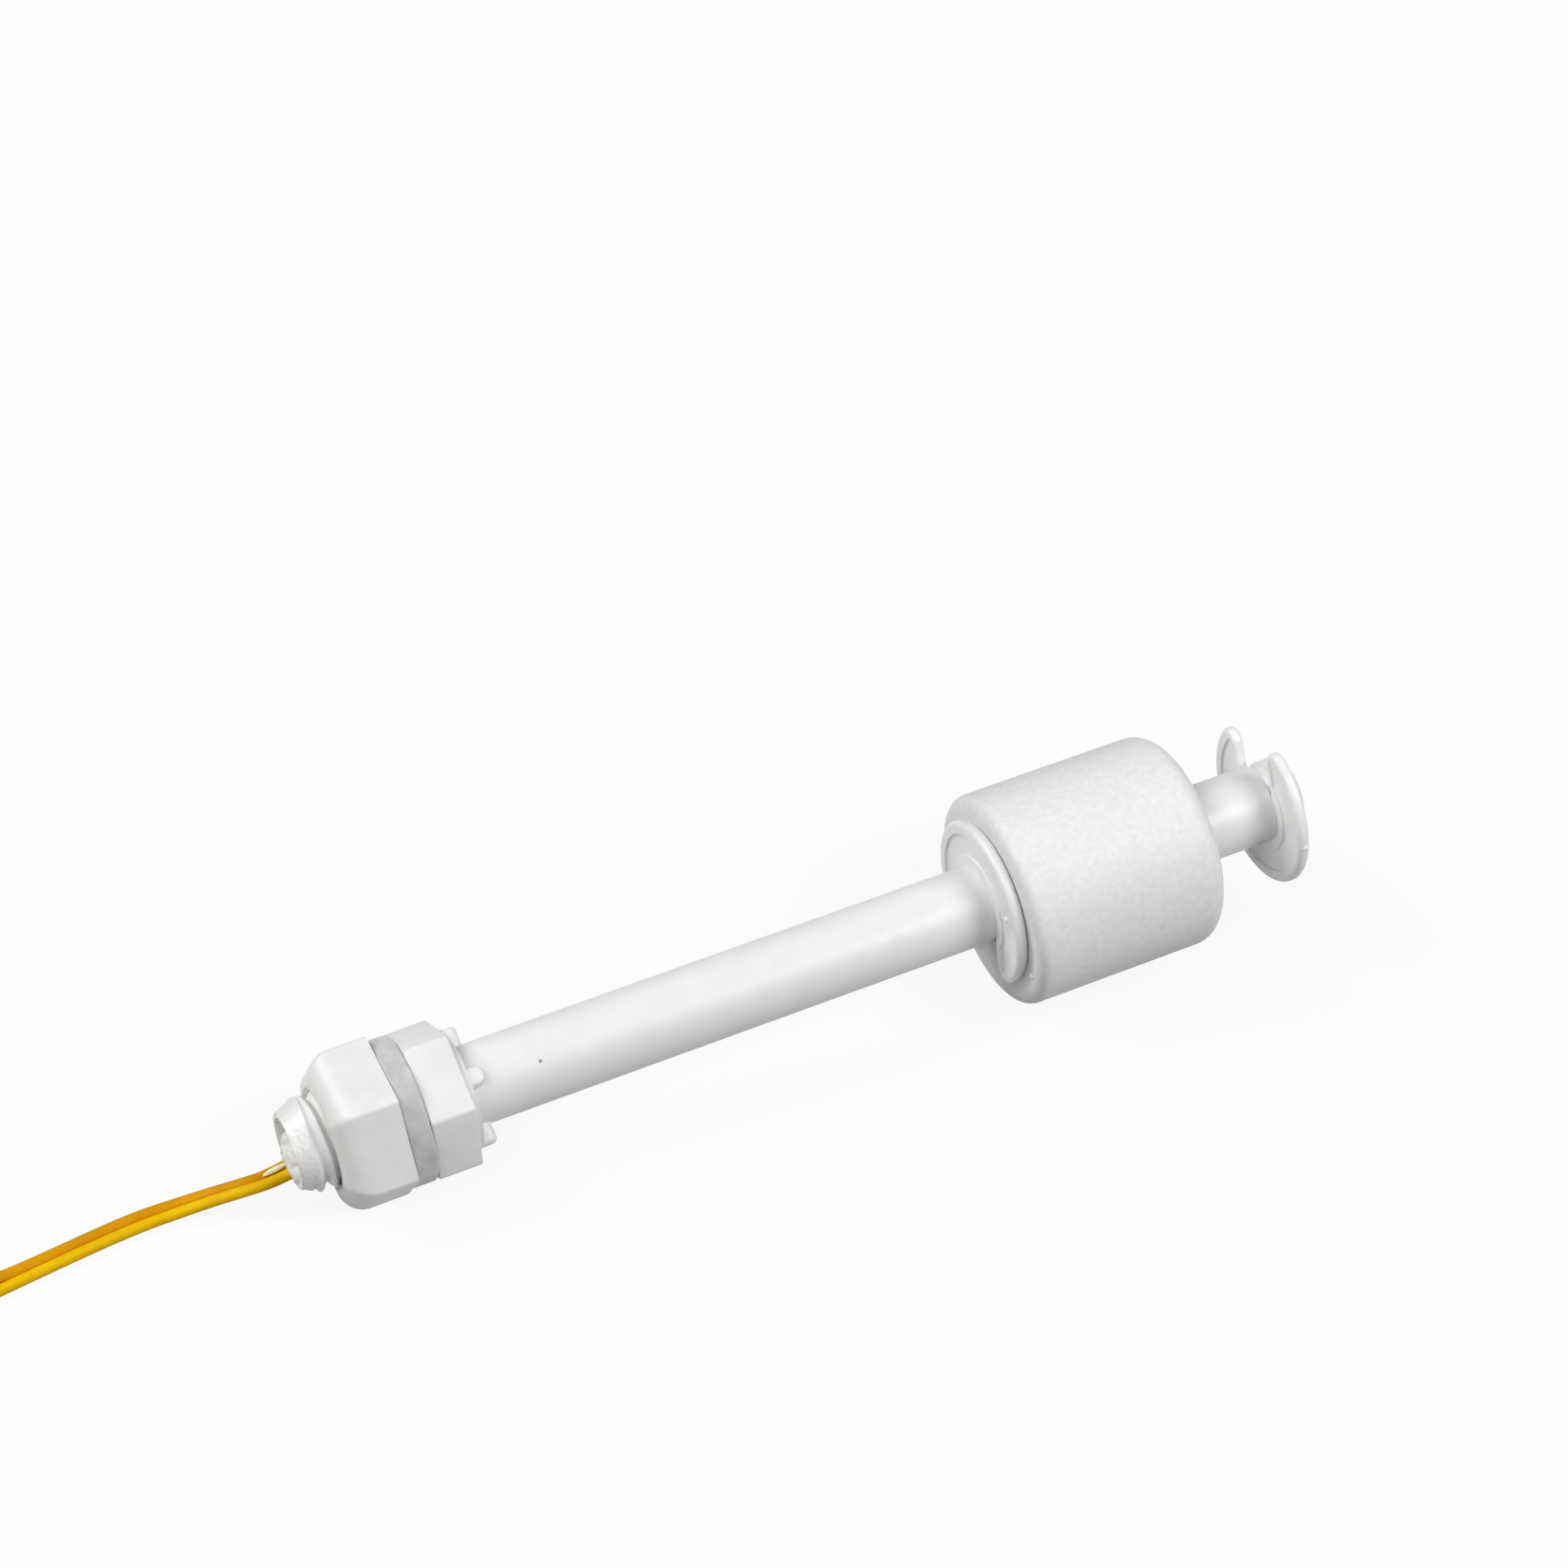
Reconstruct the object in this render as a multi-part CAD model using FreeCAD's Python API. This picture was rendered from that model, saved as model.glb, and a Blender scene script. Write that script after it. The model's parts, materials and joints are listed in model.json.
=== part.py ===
"""Side-wired float level switch: a moulded stem with a threaded head, a lock nut and a gasket,
a float with a ring magnet between two snap clips, and a reed contact sealed inside the stem.
It lies at rest: on a flat of its nut and on the lower edge of its float."""

import FreeCAD, Part
import math
import os
from FreeCAD import Placement, Rotation, Vector

# Millimetres. The switch's own axis is X. The face of the flange that seals on the tank wall is
# at x = 0, the tip of the stem is on the + side and the threaded mouth is on the - side.

# How far a cut runs past the solid that it cuts, how closely the place of an edge is told, and how
# far inside a rim its edges still count as the rim's
overcut = 1.0
edge_tolerance = 1e-4
rim_margin = 0.1

# Lugs and clips are made upright, and then turned to their place
upright_turn = 90.0

# Stem, one moulding with its head
stem_diameter = 8.4
stem_tip_x = 100.3
stem_tip_rounding = 0.5
tip_dimple_diameter = 5.4
tip_dimple_depth = 0.5
wire_bore_diameter = 5.4
wire_bore_end_x = 88.0

# Threaded head, M10, its crests stand at the full diameter
thread_diameter = 9.8
thread_length = 12.7
thread_lead_in = 0.75
mouth_diameter = 7.0
mouth_end_x = 3.0

# Hexagonal flange, with a low boss and four lugs on its stem side
flange_across_flats = 13.8
flange_thickness = 4.7
flange_turn = 23.8
flange_corner_rounding = 0.4
flange_edge_rounding = 0.25
boss_diameter = 12.6
boss_height = 0.6
lug_count = 4
lug_turn = 29.4
lug_width = 2.0
lug_length = 1.9
lug_tip_radius = 6.2
lug_root_radius = 2.1
lug_end_rounding = 0.9
lug_rounding = 0.5

# Sealing gasket and lock nut
gasket_thickness = 2.5
seat_gap = 0.03
gasket_diameter = 15.3
gasket_edge_rounding = 0.3
gasket_bore_clearance = 0.1
nut_across_flats = 15.3
nut_height = 6.8
nut_turn = 0.0
nut_corner_rounding = 0.6
nut_shoulder_rounding = 2.8
nut_running_clearance = 0.08
nut_bore_chamfer = 0.4

# Snap clips that stop the float. Each has a dish in its head side, inside a raised border, a pip
# from its ejector in the dish and a gate nub on its rim, both placed by their turn from the slot.
clip_diameter = 17.9
clip_thickness = 1.3
clip_bore_diameter = 7.0
clip_seat_clearance = 0.02
clip_rim_rounding = 0.55
clip_slot_width = 6.6
clip_horn_rounding = 1.5
clip_border_width = 1.3
clip_collar_width = 1.8
clip_slot_border_width = 0.9
clip_dish_depth = 0.25
clip_pip_turn = -104.5
clip_pip_reach = 0.2
clip_nub_turn = 106.8
clip_nub_reach = 0.15
clip_mark_radius = 0.45
head_clip_face_x = 64.6
head_clip_slot_turn = 254.4
tip_clip_face_x = 96.7
tip_clip_slot_turn = 63.4

# Float: a cup with a middle tube, closed by a welded disc on the head side. It is loose on the
# stem and hangs a little below the stem's axis.
float_diameter = 23.0
float_length = 22.3
float_bore_diameter = 9.6
float_wall = 1.2
float_cap_thickness = 1.6
float_cap_spigot_depth = 1.0
float_cap_spigot_wall = 0.9
float_head_rounding = 1.3
float_tip_rounding = 2.2
float_rest_gap = 0.1
float_sag = 0.5
cap_gate_radius = 9.7
cap_gate_turn = 189.0
cap_gate_size = 0.4
cap_gate_reach = 0.25
magnet_length = 8.0
magnet_wall = 2.1
magnet_fit = 0.03

# Reed contact, inside the wire bore and level with the magnet at rest
reed_glass_diameter = 2.2
reed_glass_length = 14.0
reed_glass_wall = 0.3
reed_seal_length = 2.0
reed_glass_rounding = 0.5
reed_lead_diameter = 0.45
reed_lead_reach = 6.0
reed_blade_width = 1.0
reed_blade_thickness = 0.2
reed_blade_overlap = 0.9
reed_blade_root_gap = 0.5
reed_gap = 0.12
reed_sleeve_wall = 0.2
reed_sleeve_fit = 0.02
reed_sleeve_overhang = 1.5
solder_diameter = 1.6
solder_length = 2.6
solder_chamfer = 0.35
solder_film = 0.05

# Potting in the mouth, mounded over the lower lip round the two leads that come out of it
potting_recess = 1.2
mound_radius = 2.1
mound_drop = 2.6
mound_inset = 1.5
lead_diameter = 1.2
lead_spacing = 1.3
lead_drop = 1.95
core_diameter = 0.5
core_inner_length = 4.0
core_bare_length = 6.0
lead_straight_exit = 3.5

# Put-away coil, a slim tie round it, and where the leads run. The points are in the part's own
# frame, on the floor: each lead first runs straight out of the potting. Lead a is on the -Y side.
coil_centre = Vector(-99.2, 7.4, 0)
coil_mid_radius = 7.0
coil_turns_wide = 3
coil_layers = 2
coil_turn_spacing = 1.22
coil_rim_chamfer = 0.4
tie_thickness = 0.4
tie_width = 2.4
tie_rounding = 0.6
tie_turn = 225.0
coil_end_trim = 3.0

# How much of its shorter run a corner of a lead takes on each side
corner_share = 0.45

lead_a_route = [
    (-63.8, 0.70, 2.0), (-68.8, 1.65, 0.6), (-75.0, 1.35, 0.6), (-82.0, 0.08, 0.6),
    (-88.8, -0.90, 0.6), (-94.8, -1.45, 1.0), (-99.2, -1.43, 1.0),
]
lead_b_route = [
    (-63.8, 2.00, 2.0), (-68.8, 2.95, 0.6), (-75.0, 2.65, 0.6), (-81.5, 1.62, 0.6),
    (-87.3, 0.70, 0.8), (-92.3, -0.40, 3.4), (-95.8, -1.25, 3.47), (-99.2, -1.43, 3.47),
]
lead_a_tail_route = [
    (-108.03, 7.4, 2.22), (-107.9, 11.6, 2.1), (-106.0, 15.7, 0.9), (-102.1, 18.3, 0.6), (-97.8, 19.1, 0.6),
]
lead_b_tail_route = [
    (-99.2, 16.23, 4.66), (-95.5, 16.2, 4.5), (-92.1, 15.0, 2.8), (-89.5, 12.3, 0.6), (-88.5, 9.2, 0.6),
]


def across(x, radius, turn):
    """A point off the axis: turn is counted from +Y towards +Z."""
    angle = math.radians(turn)
    return Vector(x, radius * math.cos(angle), radius * math.sin(angle))


def rod(x_start, x_end, diameter):
    length = x_end - x_start
    return Part.makeCylinder(diameter / 2, length, Vector(x_start, 0, 0), Vector(1, 0, 0))


def ring(x_start, x_end, outer_diameter, inner_diameter):
    hole = rod(x_start - overcut, x_end + overcut, inner_diameter)
    return rod(x_start, x_end, outer_diameter).cut(hole)


def hexagon(x_start, x_end, across_flats, turn):
    corner_radius = across_flats / math.sqrt(3)
    corners = [across(x_start, corner_radius, turn + 60 * k) for k in range(7)]
    return Part.Face(Part.makePolygon(corners)).extrude(Vector(x_end - x_start, 0, 0))


def lengthwise_edges(shape, shortest):
    return [edge for edge in shape.Edges if edge.BoundBox.XLength > shortest]


def edges_at(shape, x, smallest_radius=0.0):
    """The edges that lie in the plane at x, outside a radius from the axis."""
    found = []
    for edge in shape.Edges:
        box = edge.BoundBox
        middle = edge.valueAt((edge.FirstParameter + edge.LastParameter) / 2)
        flat = abs(box.XMin - x) < edge_tolerance and abs(box.XMax - x) < edge_tolerance
        if flat and math.hypot(middle.y, middle.z) > smallest_radius:
            found.append(edge)
    return found


def flange():
    blank = hexagon(0, flange_thickness, flange_across_flats, flange_turn)
    blank = blank.makeFillet(flange_corner_rounding, lengthwise_edges(blank, flange_thickness / 2))
    rims = edges_at(blank, 0) + edges_at(blank, flange_thickness)
    return blank.makeFillet(flange_edge_rounding, rims)


def lug(turn):
    """A short key with a round free end, proud of the stem behind the flange."""
    start = flange_thickness
    end = flange_thickness + boss_height + lug_length
    height = lug_tip_radius - lug_root_radius
    block = Part.makeBox(end - start, lug_width, height, Vector(start, -lug_width / 2, lug_root_radius))
    upright = [edge for edge in block.Edges
               if edge.BoundBox.XMin > end - edge_tolerance and edge.BoundBox.ZLength > height / 2]
    block = block.makeFillet(lug_end_rounding, upright)
    outer = [edge for edge in block.Edges
             if edge.BoundBox.ZMin > lug_tip_radius - edge_tolerance
             and edge.BoundBox.XMax > start + edge_tolerance]
    block = block.makeFillet(lug_rounding, outer)
    block.rotate(Vector(0, 0, 0), Vector(1, 0, 0), turn - upright_turn)
    return block


def clip_groove(face_x):
    start = face_x - clip_seat_clearance
    end = face_x + clip_thickness + clip_seat_clearance
    return ring(start, end, stem_diameter + 2 * overcut, clip_bore_diameter)


def stem_body():
    body = rod(0, stem_tip_x, stem_diameter)
    body = body.makeFillet(stem_tip_rounding, edges_at(body, stem_tip_x))
    thread = rod(-thread_length, 0, thread_diameter)
    thread = thread.makeChamfer(thread_lead_in, edges_at(thread, -thread_length))
    boss = rod(flange_thickness, flange_thickness + boss_height, boss_diameter)
    lugs = [lug(lug_turn + k * 360 / lug_count) for k in range(lug_count)]
    body = body.fuse([thread, flange(), boss] + lugs).removeSplitter()
    hollows = [
        rod(-thread_length - overcut, mouth_end_x, mouth_diameter),
        rod(0, wire_bore_end_x, wire_bore_diameter),
        rod(stem_tip_x - tip_dimple_depth, stem_tip_x + overcut, tip_dimple_diameter),
        clip_groove(head_clip_face_x - clip_thickness),
        clip_groove(tip_clip_face_x),
    ]
    return body.cut(hollows)


def sealing_gasket():
    start = -seat_gap - gasket_thickness
    washer = ring(start, -seat_gap, gasket_diameter, thread_diameter + 2 * gasket_bore_clearance)
    rim_radius = gasket_diameter / 2 - rim_margin
    rims = edges_at(washer, start, rim_radius) + edges_at(washer, -seat_gap, rim_radius)
    return washer.makeFillet(gasket_edge_rounding, rims)


def lock_nut():
    end = -2 * seat_gap - gasket_thickness
    start = end - nut_height
    blank = hexagon(start, end, nut_across_flats, nut_turn)
    blank = blank.makeFillet(nut_corner_rounding, lengthwise_edges(blank, nut_height / 2))
    blank = blank.makeFillet(nut_shoulder_rounding, edges_at(blank, start))
    bore_diameter = thread_diameter + 2 * nut_running_clearance
    nut = blank.cut(rod(start - overcut, end + overcut, bore_diameter))
    mouth = [edge for edge in edges_at(nut, start) if edge.BoundBox.ZMax < bore_diameter / 2 + rim_margin]
    return nut.makeChamfer(nut_bore_chamfer, mouth)


def clip_dish(face_x):
    """The shallow hollow between the collar and the border of a clip, open at its slot."""
    outer_diameter = clip_diameter - 2 * clip_border_width
    inner_diameter = clip_bore_diameter + 2 * clip_collar_width
    hollow = ring(face_x - overcut, face_x + clip_dish_depth, outer_diameter, inner_diameter)
    width = clip_slot_width + 2 * clip_slot_border_width
    corner = Vector(face_x - 2 * overcut, -width / 2, 0)
    return hollow.cut(Part.makeBox(clip_thickness + 4 * overcut, width, clip_diameter, corner))


def clip_marks(face_x):
    """The ejector's pip in the dish and the gate's nub on the rim, on an upright clip."""
    collar_radius = clip_bore_diameter / 2 + clip_collar_width
    border_radius = clip_diameter / 2 - clip_border_width
    pip_x = face_x + clip_dish_depth + clip_mark_radius - clip_pip_reach
    pip_place = across(pip_x, (collar_radius + border_radius) / 2, upright_turn + clip_pip_turn)
    nub_radius = clip_diameter / 2 + clip_nub_reach - clip_mark_radius
    nub_place = across(face_x + clip_thickness / 2, nub_radius, upright_turn + clip_nub_turn)
    return [Part.makeSphere(clip_mark_radius, place) for place in (pip_place, nub_place)]


def snap_clip(face_x, slot_turn):
    """A flat C-shaped ring that snaps into a groove. Its open side faces slot_turn."""
    bore_diameter = clip_bore_diameter + 2 * clip_seat_clearance
    disc = rod(face_x, face_x + clip_thickness, clip_diameter)
    corner = Vector(face_x - overcut, -clip_slot_width / 2, 0)
    disc = disc.cut(Part.makeBox(clip_thickness + 2 * overcut, clip_slot_width, clip_diameter, corner))
    horns = [edge for edge in lengthwise_edges(disc, clip_thickness / 2)
             if math.hypot(edge.CenterOfMass.y, edge.CenterOfMass.z) > clip_diameter / 2 - rim_margin
             and edge.CenterOfMass.z > 0]
    disc = disc.makeFillet(clip_horn_rounding, horns)
    rim_radius = clip_diameter / 2 - clip_horn_rounding
    rims = edges_at(disc, face_x, rim_radius) + edges_at(disc, face_x + clip_thickness, rim_radius)
    disc = disc.makeFillet(clip_rim_rounding, rims)
    bore = rod(face_x - overcut, face_x + clip_thickness + overcut, bore_diameter)
    disc = disc.cut([bore, clip_dish(face_x)])
    disc = disc.fuse(clip_marks(face_x)).removeSplitter()
    disc.rotate(Vector(0, 0, 0), Vector(1, 0, 0), slot_turn - upright_turn)
    return disc


def float_cap():
    face_x = head_clip_face_x + float_rest_gap
    inner_x = face_x + float_cap_thickness
    disc = rod(face_x, inner_x, float_diameter)
    disc = disc.makeFillet(float_head_rounding, edges_at(disc, face_x))
    spigot_diameter = float_diameter - 2 * float_wall
    spigot = ring(inner_x, inner_x + float_cap_spigot_depth, spigot_diameter,
                  spigot_diameter - 2 * float_cap_spigot_wall)
    bore = rod(face_x - overcut, inner_x + overcut, float_bore_diameter)
    gate_place = across(face_x + cap_gate_size - cap_gate_reach, cap_gate_radius, cap_gate_turn)
    gate = Part.makeSphere(cap_gate_size, gate_place)
    return disc.fuse([spigot, gate]).cut(bore).removeSplitter()


def float_shell():
    start = magnet_start_x()
    end = head_clip_face_x + float_rest_gap + float_length
    cup = rod(start, end, float_diameter)
    cup = cup.makeFillet(float_tip_rounding, edges_at(cup, end))
    room_end = end - float_wall
    tube_diameter = float_bore_diameter + 2 * float_wall
    room = ring(start - overcut, room_end, float_diameter - 2 * float_wall, tube_diameter)
    corner = edges_at(room, room_end, tube_diameter / 2 + rim_margin)
    room = room.makeFillet(float_tip_rounding - float_wall, corner)
    return cup.cut(room).cut(rod(start - overcut, end + overcut, float_bore_diameter))


def magnet_start_x():
    return head_clip_face_x + float_rest_gap + float_cap_thickness


def ring_magnet():
    """It sits on the float's middle tube, inside the spigot of the cap."""
    start = magnet_start_x()
    bore_diameter = float_bore_diameter + 2 * float_wall + 2 * magnet_fit
    return ring(start, start + magnet_length, bore_diameter + 2 * magnet_wall, bore_diameter)


def reed_centre_x():
    return magnet_start_x() + magnet_length / 2


def reed_glass():
    centre = reed_centre_x()
    half = reed_glass_length / 2
    outside = rod(centre - half, centre + half, reed_glass_diameter)
    ends = edges_at(outside, centre - half) + edges_at(outside, centre + half)
    outside = outside.makeFillet(reed_glass_rounding, ends)
    inside_half = half - reed_seal_length
    room = rod(centre - inside_half, centre + inside_half, reed_glass_diameter - 2 * reed_glass_wall)
    wire = rod(centre - half - overcut, centre + half + overcut, reed_lead_diameter)
    return outside.cut([room, wire])


def reed_blade(side):
    """One contact blade: a round lead, pressed flat inside the glass. side is -1 or +1."""
    centre = reed_centre_x()
    inside_half = reed_glass_length / 2 - reed_seal_length
    flat_length = inside_half - reed_blade_root_gap + reed_blade_overlap / 2
    offset = side * (reed_gap + reed_blade_thickness) / 2
    corner = Vector(-reed_blade_overlap / 2, -reed_blade_width / 2, offset - reed_blade_thickness / 2)
    flat = Part.makeBox(flat_length, reed_blade_width, reed_blade_thickness, corner)
    lead = rod(flat_length - reed_blade_overlap, reed_glass_length / 2 + reed_lead_reach, reed_lead_diameter)
    blade = flat.fuse(lead).removeSplitter()
    if side < 0:
        blade.rotate(Vector(0, 0, 0), Vector(0, 0, 1), 180)
    blade.translate(Vector(centre, 0, 0))
    return blade


def reed_sleeve():
    centre = reed_centre_x()
    half = reed_glass_length / 2 + reed_sleeve_overhang
    inner_diameter = reed_glass_diameter + 2 * reed_sleeve_fit
    return ring(centre - half, centre + half, inner_diameter + 2 * reed_sleeve_wall, inner_diameter)


def lead_side(which):
    """The leads lie side by side across the axis: a on the -Y side, b on the +Y side."""
    return which * lead_spacing / 2


def strip_x(which):
    """Where the insulation ends inside the stem: lead a at the near terminal, b at the far one."""
    half = reed_glass_length / 2 + reed_lead_reach
    if which < 0:
        return reed_centre_x() - half - core_inner_length + solder_length
    return reed_centre_x() + half - core_inner_length


def joint_point(which):
    """The middle of a soldered joint, on the underside of the reed's terminal."""
    x = strip_x(which) + core_inner_length - solder_length / 2
    return Vector(x, 0, -(reed_lead_diameter + core_diameter) / 2 - solder_film)


def inner_core(which):
    """The tinned strand, from the end of its insulation up to the terminal."""
    start = Vector(strip_x(which), lead_side(which), -lead_drop)
    joint = joint_point(which)
    bend = Vector(joint.x - solder_length / 2, joint.y, joint.z)
    end = Vector(joint.x + solder_length / 2, joint.y, joint.z)
    slope = Part.makeCylinder(core_diameter / 2, (bend - start).Length, start, bend - start)
    knee = Part.makeSphere(core_diameter / 2, bend)
    straight = Part.makeCylinder(core_diameter / 2, (end - bend).Length, bend, end - bend)
    core = slope.fuse([knee, straight])
    insulation = rod(start.x - overcut, start.x, wire_bore_diameter)
    return core.cut(insulation).removeSplitter()


def solder_joint(which, wires):
    """A bead of solder round the strand and the reed's terminal."""
    joint = joint_point(which)
    start = joint.x - solder_length / 2
    bead = rod(start, start + solder_length, solder_diameter)
    bead = bead.makeChamfer(solder_chamfer, edges_at(bead, start) + edges_at(bead, start + solder_length))
    bead.translate(Vector(0, 0, joint.z / 2))
    return bead.cut(wires)


def inner_lead(which):
    start = Vector(-thread_length, lead_side(which), -lead_drop)
    length = strip_x(which) - start.x
    return Part.makeCylinder(lead_diameter / 2, length, start, Vector(1, 0, 0))


def free_lead_start(which):
    """The stretch of a free lead that the mound holds."""
    start = Vector(-thread_length, lead_side(which), -lead_drop)
    return Part.makeCylinder(lead_diameter / 2, mound_radius, start, Vector(-1, 0, 0))


def potting_plug(stem):
    """Resin that fills the mouth, with the mound that it forms round the leads."""
    plug = rod(-thread_length + potting_recess, mouth_end_x, mouth_diameter)
    mound = Part.makeSphere(mound_radius, mound_centre())
    leads = [inner_lead(-1), inner_lead(1), free_lead_start(-1), free_lead_start(1)]
    return plug.fuse(mound).cut([stem] + leads).removeSplitter()


def mound_centre():
    return Vector(-thread_length + mound_inset, 0, -mound_drop)


def resting_tilt():
    """Radians. The tip rises until the nut's rounded edge and the float's touch one floor."""
    nut_x, nut_z = nut_rest_centre()
    float_x = head_clip_face_x + float_rest_gap + float_head_rounding
    float_z = -float_sag - (float_diameter / 2 - float_head_rounding)
    run = float_x - nut_x
    drop = float_z - nut_z
    slope = math.asin((float_head_rounding - nut_shoulder_rounding) / math.hypot(run, drop))
    return slope - math.atan2(drop, run)


def nut_rest_centre():
    x = -2 * seat_gap - gasket_thickness - nut_height + nut_shoulder_rounding
    return x, -(nut_across_flats / 2 - nut_shoulder_rounding)


def resting_place():
    """Turns the switch's own frame into the frame of the part: floor at z = 0, origin mid-length."""
    tilt = resting_tilt()
    nut_x, nut_z = nut_rest_centre()
    lift = nut_shoulder_rounding - nut_x * math.sin(tilt) - nut_z * math.cos(tilt)
    mouth_x = -thread_length * math.cos(tilt) - (thread_diameter / 2 - thread_lead_in) * math.sin(tilt)
    mound = mound_centre()
    mound_x = mound.x * math.cos(tilt) - mound.z * math.sin(tilt) - mound_radius
    tip_x = stem_tip_x * math.cos(tilt) + (stem_diameter / 2 - stem_tip_rounding) * math.sin(tilt)
    shift = -(min(mouth_x, mound_x) + tip_x) / 2
    return Placement(Vector(shift, 0, lift), Rotation(Vector(0, 1, 0), -math.degrees(tilt)))


def corner_arc(before, corner, after):
    """The tangent arc at a corner: its two ends, its middle and its radius."""
    arriving = (corner - before).normalize()
    leaving = (after - corner).normalize()
    half_turn = arriving.getAngle(leaving) / 2
    reach = corner_share * min((corner - before).Length, (after - corner).Length)
    radius = reach / math.tan(half_turn)
    inward = (leaving - arriving).normalize()
    middle = corner + inward * (radius / math.cos(half_turn) - radius)
    return corner - arriving * reach, middle, corner + leaving * reach, radius


def lead_path(points):
    """Straight runs joined by tangent arcs."""
    edges = []
    radii = []
    here = points[0]
    for before, corner, after in zip(points, points[1:], points[2:]):
        start, middle, end, radius = corner_arc(before, corner, after)
        edges.append(Part.LineSegment(here, start).toShape())
        edges.append(Part.Arc(start, middle, end).toShape())
        radii.append(round(radius, 1))
        here = end
    edges.append(Part.LineSegment(here, points[-1]).toShape())
    return Part.Wire(edges), radii


def tube(name, points, diameter):
    path, radii = lead_path(points)
    along = points[1] - points[0]
    section = Part.Wire(Part.makeCircle(diameter / 2, points[0], along))
    solid = path.makePipeShell([section], True, True)
    volume_ratio = solid.Volume / (math.pi * diameter ** 2 / 4 * path.Length)
    print(name, "radii", radii, "length", round(path.Length, 2), "volume ratio", round(volume_ratio, 4))
    return solid


def coil_half_width():
    return (coil_turns_wide * coil_turn_spacing + lead_diameter) / 2


def coil_height():
    return coil_layers * coil_turn_spacing


def outside_coil(lead_tube, inner_end, outward):
    """The stretch of a lead up to the coil, hollowed where it lies against the turns."""
    base = coil_centre - Vector(0, 0, coil_height())
    around = Part.makeCylinder(coil_mid_radius + coil_half_width(), 4 * coil_height(), base)
    start = inner_end - outward * overcut
    thin_end = Part.makeCylinder(lead_diameter, coil_end_trim + overcut, start, outward)
    return lead_tube.cut(around).cut(thin_end)


def coil(storey):
    """The outer shape of one lead's turns: storey 0 lies on the tie, storey 1 on storey 0."""
    base = coil_centre + Vector(0, 0, tie_thickness + storey * coil_height())
    outer = Part.makeCylinder(coil_mid_radius + coil_half_width(), coil_height(), base)
    eye = Part.makeCylinder(coil_mid_radius - coil_half_width(), coil_height(), base)
    turns = outer.cut(eye)
    rims = [edge for edge in turns.Edges if edge.BoundBox.ZLength < edge_tolerance]
    return turns.makeChamfer(coil_rim_chamfer, rims)


def coil_tie(coils):
    """A slim band round both storeys of the coil."""
    height = 2 * coil_height()
    width = 2 * coil_half_width()
    room = Part.makeBox(width, 3 * tie_width, height, Vector(-width / 2, -1.5 * tie_width, tie_thickness))
    corner = Vector(-width / 2 - tie_thickness, -tie_width / 2, 0)
    band = Part.makeBox(width + 2 * tie_thickness, tie_width, height + 2 * tie_thickness, corner)
    corners = [edge for edge in band.Edges if edge.BoundBox.YLength > tie_width / 2]
    band = band.makeFillet(tie_rounding, corners)
    band = band.cut(room)
    band.translate(Vector(coil_mid_radius, 0, 0))
    band.rotate(Vector(0, 0, 0), Vector(0, 0, 1), tie_turn)
    band.translate(coil_centre)
    return band.cut(coils)


def bare_end(route):
    """The stripped, tinned strand past the end of a lead's insulation."""
    start = Vector(*route[-1])
    along = start - Vector(*route[-2])
    return Part.makeCylinder(core_diameter / 2, core_bare_length, start, along)


def cord_pieces(place):
    coils = {"a": coil(0), "b": coil(1)}
    routes = {"a": lead_a_route, "b": lead_b_route}
    tails = {"a": lead_a_tail_route, "b": lead_b_tail_route}
    sides = {"a": -1, "b": 1}
    pieces = {}
    for lead, side in sides.items():
        exit_point = place.multVec(Vector(-thread_length, lead_side(side), -lead_drop))
        first_corner = place.multVec(Vector(-thread_length - lead_straight_exit, lead_side(side), -lead_drop))
        points = [exit_point, first_corner] + [Vector(*point) for point in routes[lead]]
        tail = [Vector(*point) for point in tails[lead]]
        name = "lead_" + lead
        lead_tube = tube(name + "_tube", points, lead_diameter)
        lead_tail = tube(name + "_tail", tail, lead_diameter)
        pieces[name + "_tube"] = outside_coil(lead_tube, points[-1], (points[-2] - points[-1]).normalize())
        pieces[name + "_coil"] = coils[lead]
        pieces[name + "_tail"] = outside_coil(lead_tail, tail[0], (tail[1] - tail[0]).normalize())
        pieces[name + "_bare_end"] = bare_end(tails[lead])
    pieces["coil_tie"] = coil_tie(list(coils.values()))
    return pieces


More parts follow.
